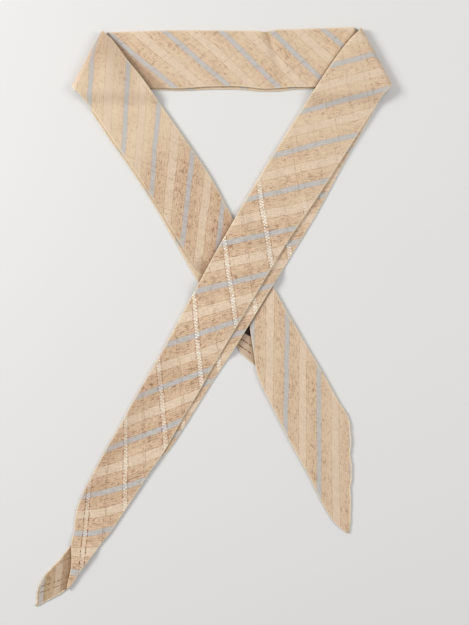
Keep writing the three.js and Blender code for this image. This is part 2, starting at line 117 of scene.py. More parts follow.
LEFT_ROWS = np.array([
    (6, -0.4, -18, 49.6, 4.0, 0, 0),
    (12, 0.6, -8, 50.8, 4.0, 0, 0),
    (19, 1.4, 6, 51.6, 4.0, 0, 0),
    (25, 1.8, 16, 52.8, 4.0, 6, 1.2),
    (31, 2.2, 25, 53.8, 4.0, 6, 1.7),
    (42, 2.5, 41, 54.7, 4.0, 6, 1.7),
    (57, 2.7, 57, 55.2, 3.9, 6, 1.7),
    (82, 4.0, 82, 56.3, 3.8, 6, 1.8),
    (108, 4.5, 108, 57.3, 3.6, 6, 1.9),
    (132, 4.4, 132, 57.5, 3.4, 6, 2.1),
    (160, 3.8, 158, 55.6, 3.2, 6, 3.1),
    (181, 3.7, 178, 54.0, 3.2, 6, 4.1),
    (198, 4.6, 198, 53.2, 3.2, 6, 5.9),
    (206, 5.8, 206, 52.9, 3.2, 6, 7.0),
    (212, 7.0, 212, 52.7, 3.2, 0, 0),
    (228, 11.5, 228, 52.2, 3.2, 0, 0),
    (242, 15.0, 242, 51.6, 3.2, 6, 17.0),
    (259, 15.9, 260, 50.4, 3.2, 6, 18.2),
    (268, 12.0, 268, 49.9, 3.2, 6, 14.6),
    (276, 8.5, 276, 49.5, 3.2, 6, 11.9),
    (282, 5.9, 282, 49.3, 3.1, 6, 7.3),
    (288.5, 2.9, 288.5, 49.0, 3.1, 6, 2.1),
    (297, -0.6, 298, 48.6, 3.0, 0, 0),
    (310, -3.3, 312, 48.2, 2.9, 0, 0),
    (333, -5.8, 333, 47.3, 2.7, 0, 0),
    (356, -8.3, 356, 45.8, 2.5, 0, 0),
    (376, -9.8, 376.5, 44.7, 2.3, 0, 0),
    (386, -10.5, 386, 39.5, 2.2, 0, 0),
    (394, -11.0, 394, 35.5, 2.1, 0, 0),
    (402, -11.7, 401, 29.1, 2.0, 0, 0),
    (412, -13.0, 412, 24.5, 1.9, 0, 0),
    (421, -14.0, 421, 18.2, 1.8, 0, 0),
    (427, -14.7, 426.5, 13.1, 1.7, 0, 0),
    (434, -15.0, 433.5, 9.6, 1.7, 0, 0),
    (445, -14.5, 445, 1.8, 1.6, 0, 0),
    (453, -12.4, 453, -3.5, 1.5, 0, 0),
    (459, -10.0, 458.5, -8.0, 1.4, 0, 0),
])
RIGHT_FOLD = (0.0, 0.0, -29.0, 48.8)
RIGHT_ROWS = np.array([
    (13, 1.8, -16, 51.2, 4.0, 0, 0),
    (24, 2.1, -5, 53.0, 4.0, 6, 0.3),
    (40, 2.7, 11, 54.5, 4.0, 6, 1.3),
    (62, 3.4, 33, 55.6, 3.9, 6, 2.5),
    (85, 4.1, 56, 56.3, 3.8, 6, 3.6),
    (108, 4.8, 79, 57.0, 3.7, 6, 5.6),
    (130, 5.8, 101.5, 57.5, 3.6, 6, 7.4),
    (150, 7.0, 122, 57.9, 3.5, 6, 8.5),
    (162, 7.6, 134, 58.0, 3.5, 6, 8.9),
    (176, 7.9, 148, 58.0, 3.4, 6, 9.1),
    (190, 8.0, 162, 58.0, 3.4, 6, 9.0),
    (206, 8.0, 178, 57.8, 3.4, 6, 8.8),
    (258, 8.0, 231, 56.2, 3.3, 6, 8.5),
    (272, 8.0, 246, 55.5, 3.3, 6, 8.0),
    (287, 7.9, 263, 54.8, 3.2, 6, 7.0),
    (300, 7.7, 279, 54.1, 3.1, 6, 6.1),
    (320, 7.1, 303, 53.0, 3.0, 6, 5.1),
    (345, 7.4, 332, 52.6, 2.9, 6, 5.1),
    (366, 6.6, 358, 52.2, 2.8, 6, 3.6),
    (377, 6.5, 372, 51.6, 2.8, 6, 2.6),
    (384, 6.7, 380, 51.4, 2.8, 6, 0.3),
    (400, 8.2, 399, 51.3, 2.7, 0, 0),
    (422, 8.7, 422, 50.4, 2.5, 0, 0),
    (441, 9.7, 441, 49.4, 2.4, 0, 0),
    (455, 10.3, 455, 47.6, 2.2, 0, 0),
    (465, 10.8, 465, 45.0, 2.1, 0, 0),
    (478, 12.8, 478, 39.2, 1.9, 0, 0),
    (490, 14.0, 490, 34.8, 1.8, 0, 0),
    (501, 15.0, 501, 28.0, 1.6, 0, 0),
    (512, 16.1, 512, 22.9, 1.5, 0, 0),
    (519, 16.2, 519, 20.8, 1.4, 0, 0),
    (525.5, 17.4, 525, 18.9, 1.3, 0, 0),
])
TIP_ROWS = np.array([
    (491.5, 16.5, 491.5, 34.9, 1.3, 0, 0),
    (499, 17.0, 499, 35.8, 1.3, 0, 0),
    (507, 17.6, 507, 36.9, 1.3, 0, 0),
    (517, 17.8, 517, 39.4, 1.3, 0, 0),
    (526, 18.2, 526, 41.2, 1.3, 0, 0),
    (533, 21.2, 533.5, 41.2, 1.3, 0, 0),
    (539, 25.0, 539.5, 39.8, 1.3, 0, 0),
    (545, 28.8, 545, 37.6, 1.3, 0, 0),
    (549.5, 31.0, 549, 34.8, 1.3, 0, 0),
    (552.5, 33.6, 552, 34.8, 1.3, 0, 0),
])

# The inner ply of the pocket: its upper edge is a slanted fold with a dark hole above it.
POCKET_ROWS = np.array([
    (242.8, -2.2, 274.3, 15.0, 1.3, 0, 0),
    (256, -2.3, 278, 13.3, 1.3, 0, 0),
    (267, -2.6, 281, 12.0, 1.3, 0, 0),
    (275, -3.3, 284.5, 10.5, 1.3, 0, 0),
    (282, -1.4, 288, 8.5, 1.3, 0, 0),
    (289, 0.9, 291, 6.0, 1.3, 0, 0),
])

# Columns of the hem tables: along, across and height of the middle of the sewn roll.
LEFT_HEM = np.array([
    (376.5, 44.2, 1.9), (386, 39.3, 1.75), (394, 35.2, 1.65), (401, 29.1, 1.5), (412, 24.2, 1.4),
    (421, 18.0, 1.3), (426.5, 12.9, 1.25), (433.5, 9.3, 1.2), (445, 1.6, 1.1), (453, -3.7, 1.0),
    (458.2, -8.2, 0.95), (458.6, -9.6, 0.9), (453.5, -11.9, 0.9),
])
POCKET_HEM = np.array([
    (262, -2.3, 0.75), (268, -2.5, 0.8), (276, -3.2, 0.8), (282, -1.3, 0.8), (288.5, 0.9, 0.75),
    (292, 1.4, 0.7),
])
TIP_HEM = np.array([
    (492, 17.0, 0.8), (499, 17.5, 0.8), (507, 18.1, 0.8), (517, 18.3, 0.8), (526, 18.8, 0.8),
    (533, 21.6, 0.8), (539, 25.4, 0.8), (545, 29.2, 0.8), (549.5, 31.5, 0.75), (552.2, 34.2, 0.7),
    (549, 34.5, 0.75), (545, 37.1, 0.8), (539.5, 39.3, 0.8), (533.5, 40.7, 0.8), (526, 40.7, 0.8),
    (517, 38.9, 0.8), (507, 36.4, 0.8), (499, 35.3, 0.8), (492, 34.4, 0.8),
])

# Columns of the stripe tables: number of the woven repeat, and how far along the stretch it crosses
# the low line and the high line, and how far it bows between them. The stripes slant because the band
# is folded on the bias.
LOW_LINE = 5
HIGH_LINE = 50
REPEAT = 32.5   # mm of flat cloth in one woven repeat, both ways
WARP_STRIPES = {
    "neck": [(-1, -90, -146, 0), (0, -40.3, -95.2, 0), (1, 8.3, -43.3, 0), (2, 51.6, 5.4, 0.8),
             (3, 96.4, 50.4, 0), (4, 148, 96.8, 0), (5, 200, 144, 0)],
    "left": [(-1, -30, -98, 0), (0, 17.5, -42, 0), (1, 71.4, 11.4, 0), (2, 117.0, 58.2, 0),
             (3, 167.8, 112.4, 0), (4, 217, 161.8, 0), (5, 280.5, 213, 0), (6, 335.4, 267.7, 0),
             (7, 389.3, 318.7, 0), (8, 444, 370, 0), (9, 500, 420, 0)],
    "right": [(-1, -85, -38, 0), (0, -36, 10, 0), (1, 10.2, 55.1, 0), (2, 54.8, 99.7, 0),
              (3, 101.2, 144.7, 0), (4, 148.9, 190.5, 0), (5, 194.1, 240, 0), (6, 241.6, 294.2, 0),
              (7, 291, 347.7, 0), (8, 344.6, 402, 0), (9, 404.1, 451, 2.5), (10, 453, 484, 6),
              (11, 502, 516.4, 3), (12, 552, 560, 0)],
    "tip": [(-1, 473.8, 382.9, 0), (0, 539.8, 448.9, 0), (1, 601.9, 511.0, 0), (2, 671.8, 580.9, 0)],
    "pocket": [(4, 236.0, 182.0, 0), (5, 300.0, 233.0, 0), (6, 355.0, 288.0, 0), (7, 409.0, 339.0, 0)],
}
WEFT_STRIPES = {
    "neck": [(-1, -131, -68, 0), (0, -71, -8, 0), (1, -11, 52, 0), (2, 49, 112, 0), (3, 109, 172, 0)],
    "left": [(-1, -77, -15, 0), (0, -25, 37, 0), (3, 131, 193, 0), (6, 287, 349, 0), (9, 443, 505, 0)],
    "right": [(-1, -30, -80, 0), (0, 25, -25, 0), (1, 80, 30, 0), (2, 137, 85, 0), (3, 194.5, 141.3, 0),
              (4, 255.8, 200.3, 0), (5, 316.3, 253.5, 0), (6, 378.1, 314.8, 0), (7, 448.7, 371.4, 0),
              (8, 528, 433, 0), (9, 610, 500, 0)],
    "tip": [(-1, 445.4, 501.4, 0), (0, 497.4, 553.4, 0), (1, 549.4, 605.4, 0), (2, 601.4, 657.4, 0)],
    "pocket": [(-2, 66.0, 176.0, 0), (-1, 171.0, 281.0, 0), (0, 276.0, 386.0, 0), (1, 381.0, 491.0, 0)],
}

# Columns of the crease tables: along and across of both ends, width and depth. A trough has a
# positive depth and a ridge a negative one.
CREASES = {
    "neck": [(46, 48, 63, 1, 2.2, 0.75), (50, 49, 68, 2, 3.0, -0.25), (-20, 46, 6, 20, 5, 0.25),
             (-70, 30, -40, 8, 6, 0.22), (84, 46, 104, 14, 4, 0.3), (20, 40, 34, 12, 6, -0.2)],
    "left": [(20, 50, 60, 34, 5, 0.3), (90, 20, 150, 34, 6, 0.25), (0, 30, 14, 4, 4, 0.3),
             (170, 50, 205, 24, 5, 0.3), (300, 40, 372, 20, 7, 0.3), (330, 6, 400, -4, 4, 0.25)],
    "right": [(4, 30, 40, 44, 5, 0.3), (96, 14, 150, 22, 5, 0.25), (180, 50, 250, 34, 7, 0.28),
              (300, 20, 360, 34, 6, 0.3), (390, 40, 440, 18, 5, 0.3), (452, 40, 500, 24, 4, 0.3)],
}


def linear(hexa):
    """Turns an sRGB hex value into linear red, green and blue."""
    parts = [int(hexa[i:i + 2], 16) / 255 for i in (0, 2, 4)]
    return tuple(p / 12.92 if p <= 0.04045 else ((p + 0.055) / 1.055) ** 2.4 for p in parts)


def smooth(value, start, end):
    """Smooth step from 0 at start to 1 at end."""
    t = np.clip((value - start) / (end - start), 0, 1)
    return t * t * (3 - 2 * t)


def through(at, knots, values):
    """Smooth curve through the rows: a cubic on each span, with the slopes of the rows around it."""
    knots, values = np.asarray(knots, float), np.asarray(values, float)
    slopes = np.gradient(values, knots)
    left = np.clip(np.searchsorted(knots, at) - 1, 0, len(knots) - 2)
    gap = knots[left + 1] - knots[left]
    t = (at - knots[left]) / gap
    inside = np.clip(t, 0, 1)
    curve = (values[left] * (1 + 2 * inside) * (1 - inside) ** 2
             + values[left + 1] * inside ** 2 * (3 - 2 * inside)
             + gap * inside * (1 - inside) * (slopes[left] * (1 - inside) - slopes[left + 1] * inside))
    past = (t - inside) * gap
    return curve + past * np.where(t > 1, slopes[left + 1], slopes[left])


def to_table(name, along, across):
    """Table coordinates of (along, across): a turn by the frame's angle, and a move to its origin."""
    place = FRAMES[name]
    turn = math.radians(place["turn"])
    side = place["side"]
    x = place["x"] + along * math.cos(turn) - side * across * math.sin(turn)
    y = place["y"] + along * math.sin(turn) + side * across * math.cos(turn)
    return x, y


def from_table(name, x, y):
    """(along, across) of table coordinates: the reverse of to_table."""
    place = FRAMES[name]
    turn = math.radians(place["turn"])
    dx, dy = x - place["x"], y - place["y"]
    along = dx * math.cos(turn) + dy * math.sin(turn)
    return along, place["side"] * (dy * math.cos(turn) - dx * math.sin(turn))


def drop(outside):
    """Level at 1 up to the margin, then a smooth fall to 0 over the drop length."""
    return 1 - smooth(outside - LEVEL_MARGIN, 0, DROP_LENGTH)


def bed(name, x, y):
    """Height that a stretch lies at: the highest of what is under it, each with a smooth way down."""
    if name == "neck":
        return np.zeros_like(x)
    height = OVER_NECK * drop(FRAMES["neck"]["y"] - y)
    if name == "right":
        across = from_table("left", x, y)[1]
        outside = np.maximum(LEFT_TAIL_LOW_EDGE - across, across - LEFT_TAIL_HIGH_EDGE)
        along = from_table("right", x, y)[0]
        height = np.maximum(height, OVER_CROSSING * drop(outside))
        height = np.maximum(height, OVER_LAYER * smooth(along, TIP_RISE_START, TIP_RISE_END))
    return height


# Stretches that lie on each stretch, with the tables of their edges
ON_TOP = {
    "neck": (("left", LEFT_ROWS), ("right", RIGHT_ROWS)),
    "left": (("right", RIGHT_ROWS),),
    "right": (),
}
FAR_FROM_COVER = 40.0


def clear_of_cover(name, x, y):
    """Distance in mm from the nearest edge of what lies on the stretch. Below 0 it is covered."""
    clear = np.full_like(x, FAR_FROM_COVER)
    for other, rows in ON_TOP[name]:
        along, across = from_table(other, x, y)
        past_inner = across - np.interp(along, rows[:, 2], rows[:, 3])
        past_outer = np.interp(along, rows[:, 0], rows[:, 1] - rows[:, 6]) - across
        clear = np.minimum(clear, np.maximum(past_inner, past_outer))
    return clear


def neck_shade(along, across):
    """Depth of the painted brown shade beside the puffed left corner, a wedge, and of the painted shade along
    the crease.
    """
    left = -93.4 + (46.8 - across) * 0.782
    wide = np.maximum(0.6 + (46.8 - across) * 0.36, 0.5)
    wedge = 0.44 * (1 - smooth((along - left) / wide, 0.6, 1.15))
    past = along - 46.1 - (48 - across) * 0.37
    crease = 0.45 * np.exp(-(past / 0.75) ** 2) + 0.14 * np.exp(-((past + 2.5) / 2.5) ** 2)
    return np.maximum(wedge, crease * smooth(across, 4, 20))


def left_shade(along, across):
    """Depth of the painted olive shade where the left corner bends down, above the crossing, in a spot beside
    it, and in a faint band before it.
    """
    x, y = to_table("left", along, across)
    corner = 0.27 * (1 - smooth(np.hypot(along + 24, across - 46), 8, 55))
    beside = np.exp(-np.clip(clear_of_cover("left", x, y), 0, None) / 5.5)
    above = 0.42 * beside * (1 - smooth(along, 205, 225))
    spot = 0.55 * np.exp(-(np.hypot(along - 198, across - 8) / 12) ** 2)
    painted_band_shade = 0.09 * smooth(along, 70, 100) * (1 - smooth(along, 190, 215))
    return np.maximum(np.maximum(corner, above), np.maximum(spot, painted_band_shade))


def right_shade(along, across):
    """Depth of the olive shade along the inner edge of the tail's lower half, which bends down there."""
    return 0.17 * smooth(across, 26, 48) * smooth(along, 270, 330) * (1 - smooth(along, 440, 480))


def pocket_shade(along, across):
    """Depth of the painted shade on the pocket's inner ply: darkest close under the front ply."""
    edge = np.interp(along, LEFT_ROWS[:, 0], LEFT_ROWS[:, 1])
    return 0.22 + 0.45 * np.exp(-np.clip(edge - across, 0, None) / 2.6)


def tip_shade(along, across):
    """Depth of the turned tip's shade: brown beside the tail's end that lies on it."""
    edge = np.interp(along, RIGHT_ROWS[:, 2], RIGHT_ROWS[:, 3])
    return 0.52 * np.exp(-np.clip(across - edge, 0, None) / 9) * (1 - smooth(along, 524, 540))


def stripe_count(table, along, across):
    """Number of woven repeats at a point. Each stripe is a line from the low to the high line with a bow.

    Newton's steps solve along = the stripe's own along at that share across, for the stripe number.
    """
    rows = np.array(table, float)
    share = (across - LOW_LINE) / (HIGH_LINE - LOW_LINE)
    bow = 4 * share * (1 - share) * (np.abs(share - 0.5) < 0.75)
    number, low, high, bend = rows.T
    count = np.interp(along, low, number)
    for _ in range(12):
        place = through(count, number, low) * (1 - share) + through(count, number, high) * share
        place = place + bow * through(count, number, bend)
        ahead = through(count + 0.02, number, low) * (1 - share)
        ahead = ahead + through(count + 0.02, number, high) * share
        ahead = ahead + bow * through(count + 0.02, number, bend)
        count = count - np.clip(0.02 * (place - along) / np.maximum(ahead - place, 0.3), -0.7, 0.7)
    return count


def relief(name, along, across):
    """Soft unevenness of a cloth top: crossed long waves, plus a bell-shaped trough along each crease."""
    uneven = 0.16 * np.sin(along / 17 + across / 11) * np.cos(across / 8 - along / 41)
    uneven += 0.10 * np.sin(along / 6.3 - across / 13 + 1.3) * np.sin(across / 5.1 + 0.6)
    for a0, c0, a1, c1, wide, deep in CREASES[name]:
        run = np.array((a1 - a0, c1 - c0), float)
        t = ((along - a0) * run[0] + (across - c0) * run[1]) / run.dot(run)
        near = np.clip(t, 0, 1)
        away = np.hypot(along - a0 - near * run[0], across - c0 - near * run[1]) / wide
        uneven -= deep * np.exp(-away * away) * np.sin(np.pi * np.clip(0.1 + 0.8 * near, 0, 1))
    return uneven


def left_puff(x, y):
    """Bulge of the unpressed left corner: a bell centred near the fold's inner edge."""
    along, across = from_table("left", x, y)
    away = np.hypot(along - PUFF_ALONG, across - PUFF_ACROSS) / PUFF_SPREAD
    return PUFF_HEIGHT * np.exp(-away * away)


def col(values):
    """One value per row, as a column that fits a grid."""
    return values[:, None]


def round_the_pack(across_steps, under_steps, edge_round):
    """Columns of one closed flat loop of cloth: share across, inset in mm, share of height, turn.

    The loop runs over the top, round the inner edge, back below and round the outer edge. Each edge
    is a half circle, squeezed to the pack's height.
    """
    over = np.linspace(0, 1, across_steps)
    under = np.linspace(1, 0, under_steps)
    turn = np.linspace(np.pi / 2, -np.pi / 2, 8)[1:-1]
    inner = [(1, -edge_round * (1 - np.cos(a)), 0.5 + 0.5 * np.sin(a), np.cos(a)) for a in turn]
    outer = [(0, edge_round * (1 - np.cos(a)), 0.5 + 0.5 * np.sin(a), np.cos(a)) for a in turn[::-1]]
    columns = [(v, edge_round * (1 - 2 * v), 1, 0) for v in over] + inner
    columns += [(v, edge_round * (1 - 2 * v), 0, 0) for v in under] + outer
    return np.array(columns).T


# Marks on the cloth's points: painted highlight of the fold edge, share of tan, share of white dots, share of
# the brown lines beside them, distance in mm from the edge of what lies on it, for a painted contact shadow,
# and share of painted shade
MARKS = ("fold_edge", "tan", "dots", "lines", "clear", "deep")


def new_piece(name, loops, material):
    """Makes a mesh piece from loops of cloth. Each is a grid of points, cloth coordinates and marks.

    Point (i, j) of a grid is joined by a quad to the next row and the next column, and the last column
    to the first. The cloth's own coordinates go to a UV map in metres, one step further at that seam.
    """
    verts, faces, cloth, marks = [], [], [], []
    start = 0
    for points, uv, mark in loops:
        rows, cols = points.shape[:2]
        verts.append(points.reshape(-1, 3) * MM)
        marks.append(mark.reshape(-1, mark.shape[-1]))
        i, j = np.meshgrid(np.arange(rows - 1), np.arange(cols), indexing="ij")
        k = (j + 1) % cols
        quad = np.stack([i * cols + j, i * cols + k, (i + 1) * cols + k, (i + 1) * cols + j], -1)
        faces.append(quad.reshape(-1, 4) + start)
        uv = np.concatenate([uv, 2 * uv[:, -1:] - uv[:, -2:-1]], axis=1)
        wide = uv.shape[1]
        corner = np.stack([i * wide + j, i * wide + j + 1, (i + 1) * wide + j + 1, (i + 1) * wide + j], -1)
        cloth.append(uv.reshape(-1, 2)[corner.reshape(-1, 4)].reshape(-1, 2))
        start += rows * cols
    verts, faces = np.concatenate(verts), np.concatenate(faces)
    mesh = bpy.data.meshes.new(name)
    mesh.from_pydata(verts.tolist(), [], faces.tolist())
    layer = mesh.uv_layers.new(name="cloth")
    layer.data.foreach_set("uv", (np.concatenate(cloth) * MM).ravel())
    for at, key in enumerate(MARKS):
        attribute = mesh.attributes.new(key, "FLOAT", "POINT")
        attribute.data.foreach_set("value", np.concatenate(marks)[:, at].astype(np.float32))
    mesh.polygons.foreach_set("use_smooth", np.ones(len(faces), bool))
    mesh.materials.append(material)
    piece = bpy.data.objects.new(name, mesh)
    bpy.context.scene.collection.objects.link(piece)
    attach(piece, "root")
    return piece


def turned_outwards(points):
    """True where a closed loop grid's quads face outwards, from the sign of the volume it sweeps."""
    row, following = points[:-1], points[1:]
    across = np.roll(row, -1, axis=1) - row
    middle = row.mean(axis=1, keepdims=True)
    return (np.cross(across, following - row) * (row - middle)).sum() > 0


def thicken(piece, thickness):
    """Gives a cloth surface its own thickness inwards."""
    shell = piece.modifiers.new("cloth", "SOLIDIFY")
    shell.thickness = thickness * MM
    shell.offset = -1
    shell.use_even_offset = False
    shell.use_quality_normals = True


class Stretch:
    """Grid of one stretch: its rows resampled evenly, with the corner fold's rows in front.

    spread moves the inner end of the first row after the fold, along and across. on_table leaves out
    the bed, for a piece that lies under the stretch whose frame it shares.
    """

    def __init__(self, name, rows, fold=None, span=None, step=2.4, spread=(0, 0), on_table=False):
        self.name = name
        self.on_table = on_table
        self.fold = fold
        if fold:
            outer_along, outer, inner_along, inner = fold
            self.slant = (inner - outer) / math.hypot(inner - outer, inner_along - outer_along)
            shift = FOLD_REACH / self.slant
            ends = (outer_along + shift, outer, inner_along + shift, inner)
            first = (ends[0], outer, ends[2] - spread[0], inner + spread[1], TAIL_THICK, 0, 0)
            rows = np.vstack([first, rows])
        knots = (rows[:, 0] + rows[:, 2]) / 2
        low, high = span or (knots[0], knots[-1])
        self.at = np.linspace(low, high, max(4, int((high - low) / step)))
        edges = [through(self.at, knots, rows[:, column]) for column in range(4)]
        layers = [np.interp(self.at, knots, rows[:, column]) for column in (4, 5, 6)]
        self.angle = np.full(len(self.at), np.pi / 2)
        if fold:
            edges, layers = self.round_the_fold(ends, edges, layers)
        self.outer_along, self.outer, self.inner_along, self.inner = edges
        self.thick, self.tuck, self.show = layers
        self.from_fold = self.at - self.at[0]

    def round_the_fold(self, ends, edges, layers):
        """Puts the fold's rows in front: half a turn in equal angles. The edges spread in its upper half."""
        turns = np.linspace(-np.pi / 2, np.pi / 2, FOLD_ROWS)[:-1]
        lead = lambda values: np.concatenate([np.full(len(turns), values[0]), values])
        over = np.clip(np.sin(turns), 0, 1) ** 1.5
        grown = [end + (edge[0] - end) * over for end, edge in zip(ends, edges)]
        self.at = lead(self.at)
        self.angle = np.concatenate([turns, self.angle])
        return [np.concatenate(pair) for pair in zip(grown, edges)], [lead(values) for values in layers]

    def raised(self, along, across, place, heights, up, wave, puff):
        """Points of a loop on its bed, with an uneven top. The crown falls by a tenth to both edges.

        Round the corner fold they follow a half circle from near the table up to the tail's top.
        """
        settle = smooth(col(self.from_fold), 0, FOLD_SETTLE) if self.fold else 1.0
        total = col(self.thick) * (1 - 0.1 * np.clip(np.abs(2 * place - 1), 0, 1) ** 3 * settle)
        bottom, top = heights(total, col(self.tuck))
        height = bottom + up * (top - bottom)
        ease = np.clip(height / np.maximum(total, 0.1), 0, 1) ** 2
        uneven = relief(self.name, along, across) * settle * wave
        rise = np.clip(uneven, -0.45 * total, 0.5) * ease
        if not self.fold:
            x, y = to_table(self.name, along, across)
            ground = 0 if self.on_table else bed(self.name, x, y)
            return along, np.stack([x, y, ground + height + rise], -1)
        angle = col(self.angle)
        below = TAIL_THICK - height
        away = FOLD_REACH - (FOLD_REACH - below * FOLD_REACH / (TAIL_THICK + 0.2)) * np.cos(angle)
        in_nose = angle < np.pi / 2 - 1e-6
        along = np.where(in_nose, along + (away - FOLD_REACH) / self.slant, along)
        nose = FOLD_HEIGHT / 2 + (FOLD_HEIGHT / 2 - below) * np.sin(angle)
        x, y = to_table(self.name, along, across)
        z = np.where(in_nose, nose, bed(self.name, x, y) + height + rise)
        if puff:
            z = z + puff * left_puff(x, y) * (0.5 + 0.5 * np.sin(angle)) ** 2
        return along, np.stack([x, y, z], -1)

    def on_cloth(self, along, across, shift, stripes):
        """Where each point is on the flat cloth, in mm both ways. The cloth runs on round the fold."""
        angle = col(self.angle)
        flat_along = along - np.where(angle < np.pi / 2, (np.pi / 2 - angle) * FOLD_ARC, 0)
        warp = stripe_count(WARP_STRIPES[stripes], flat_along - shift[0], across) * REPEAT
        weft = stripe_count(WEFT_STRIPES[stripes], flat_along - shift[1], across) * REPEAT
        return np.stack([warp, weft], -1)

    def loop(self, heights, columns, outer_inset=0.0, inner_inset=0.0, cloth_shift=(0.0, 0.0), tan=0.2,
             dots=0.0, lines=0.3, puff=0.0, wave=1.0, outer=None, inner=None, deep=0.0, stripes=None):
        """One flat loop of cloth. heights gives the height of its bottom and top.

        tan and deep may be functions of along and across, and dots and lines functions of along.
        """
        share, inset, up, turn = columns
        outer_edge = col(self.outer)
        low_edge = outer_edge + (col(outer_inset) if np.ndim(outer_inset) else outer_inset)
        high_edge = col(self.inner) - inner_inset
        if outer is not None:
            low_edge = outer_edge - col(outer)
        if inner is not None:
            high_edge = outer_edge + inner
        small = np.clip((high_edge - low_edge) / 4, 0.1, 1)
        across = low_edge + share * (high_edge - low_edge) + inset * small
        place = (across - outer_edge) / (col(self.inner) - outer_edge)
        along = col(self.outer_along) + place * col(self.inner_along - self.outer_along)
        along, points = self.raised(along, across, place, heights, up, wave, puff)
        cloth = self.on_cloth(along, across, cloth_shift, stripes or self.name)
        near = np.minimum(across - low_edge, high_edge - across)
        # Painted highlight: paler near the top's edges and on the rounded edges of the loop.
        lit = np.where(up > 0.45, np.exp(-(np.clip(near - 0.1, 0, None) / 0.6) ** 2), 0.6 * turn)
        marks = [
            np.clip(lit, 0, 1),
            tan(along, across) if callable(tan) else tan,
            dots(along) if callable(dots) else dots,
            lines(along) if callable(lines) else lines,
            clear_of_cover(self.name, points[..., 0], points[..., 1]),
            deep(along, across) if callable(deep) else deep,
        ]
        marks = np.stack([mark + 0 * along for mark in marks], -1)
        if not turned_outwards(points):
            points, cloth, marks = points[:, ::-1], cloth[:, ::-1], marks[:, ::-1]
        return points, cloth, marks


def one_layer(total, tuck):
    """Heights of the bottom and top of a single layer, whatever the stretch's own height."""
    return OFF_TABLE, LAYER_THICK


def packs(stretch, tan=0.2, dots=0.0, lines=0.3, puff=0.0, deep=0.0):
    """Three flat loops on each other fill a stretch, the lowest one drawn back where the tuck is.

    The lowest one's top is at 0.4 of the stretch's height or just over the next layer, whichever is
    lower, and always the latter where that layer shows. The middle one ends half-way from there to the top.
    """
    fine = round_the_pack(40, 12, 0.62)
    coarse = round_the_pack(26, 10, 0.6)
    even = lambda total: np.minimum(OVER_LAYER, 0.4 * total)
    step = lambda total, tuck: even(total) + (OVER_LAYER - even(total)) * np.clip(tuck / TUCK, 0, 1)
    middle = lambda total, tuck: 0.5 * (step(total, tuck) + total) + 0.05
    upper_pack = lambda total, tuck: (middle(total, tuck) + 0.04, total)
    middle_pack = lambda total, tuck: (step(total, tuck) + 0.1, middle(total, tuck) - 0.02)
    lower_pack = lambda total, tuck: (0.03, step(total, tuck) - 0.03)
    slip = 0.35 + 0.3 * np.sin(stretch.at / 23.0 + 0.7)
    back = np.where(stretch.tuck > 0.1, stretch.tuck + 0.5, 0.25 + 0.2 * np.sin(stretch.at / 31.0))
    return [
        stretch.loop(upper_pack, fine, tan=tan, dots=dots, lines=lines, puff=puff, deep=deep),
        stretch.loop(middle_pack, coarse, slip, 0.3, (9, 14), tan=tan, dots=dots, puff=0.45 * puff, wave=0.5),
        stretch.loop(lower_pack, coarse, back, 0.1, (-14, 23), tan=tan, dots=dots, wave=0.0),
    ]


def cloth_piece(context, name, loops, material, node):
    piece = new_piece(name, loops, material)
    thicken(piece, context.scene.cravat_band.cloth)
    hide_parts(node)
    return piece


def hem_piece(context, name, frame_name, table, radius):
    """A rolled hem: a thin tube through the rows of a hem table, uneven by hand stitches, closed ends.

    At each step two ways square to the run span a ring of points round it.
    """
    rows = np.asarray(table, float)
    gone = np.concatenate([[0], np.cumsum(np.hypot(*np.diff(rows[:, :2], axis=0).T))])
    at = np.linspace(0, gone[-1], int(gone[-1] / 0.8) + 2)
    along, across, height = (np.interp(at, gone, rows[:, column]) for column in range(3))
    x, y = to_table(frame_name, along, across)
    middle = np.stack([x, y, height], -1)
    run = np.gradient(middle[:, :2], axis=0)
    run /= np.hypot(*run.T)[:, None]
    aside = np.stack([-run[:, 1], run[:, 0], 0 * at], -1)
    turn = np.linspace(0, 2 * np.pi, 9)[:-1]
    from_end = np.minimum(at, at[-1] - at)
    closing = np.sqrt(np.clip(from_end / 0.8, 0.02, 1))
    thick = (radius * (1 + 0.14 * np.sin(at / 1.9) + 0.1 * np.sin(at / 0.83 + 1)) * closing)[:, None, None]
    up = np.array((0, 0, 0.85))
    ring = middle[:, None] + thick * (np.cos(turn)[:, None] * aside[:, None] + np.sin(turn)[:, None] * up)
    uv = np.stack([14 + 0 * turn + 0 * at[:, None], at[:, None] + 0 * turn], -1)
    # The whole hem carries the painted fold-edge highlight.
    marks = np.zeros((*ring.shape[:2], len(MARKS))) + (1.0, 0.3, 0.0, 0.0, FAR_FROM_COVER, 0.0)
    if not turned_outwards(ring):
        ring = ring[:, ::-1]
    piece = new_piece(name, [(ring, uv, marks)], silk_material(context))
    return piece


def add(tree, kind, inputs=(), **settings):
    """Adds a node, sets its settings, and sets or links its inputs by name or number."""
    made = tree.nodes.new(kind)
    for key, value in settings.items():
        setattr(made, key, value)
    for key, value in dict(inputs).items():
        if isinstance(value, bpy.types.NodeSocket):
            tree.links.new(value, made.inputs[key])
        else:
            made.inputs[key].default_value = value
    return made


def scaled(tree, point, by):
    """Noise coordinates: a point scaled by waves per metre on each axis."""
    return add(tree, "ShaderNodeVectorMath", {0: point, 1: by}, operation="MULTIPLY").outputs[0]


def maths(tree, operation, *values, clamp=False):
    """One sum on sockets or numbers."""
    made = add(tree, "ShaderNodeMath", dict(enumerate(values)), operation=operation, use_clamp=clamp)
    return made.outputs[0]


def noise(tree, point, detail, roughness=0.5, scale=1.0):
    """Value of a noise texture, about 0 to 1."""
    return add(tree, "ShaderNodeTexNoise", {"Vector": point, "Scale": scale, "Detail": detail,
                                            "Roughness": roughness}).outputs["Fac"]


def ranged(tree, value, low, high, start=0.0, end=1.0):
    """Turns low to high into start to end, and holds what is past them."""
    return add(tree, "ShaderNodeMapRange", {"Value": value, "From Min": low, "From Max": high,
                                            "To Min": start, "To Max": end}).outputs[0]


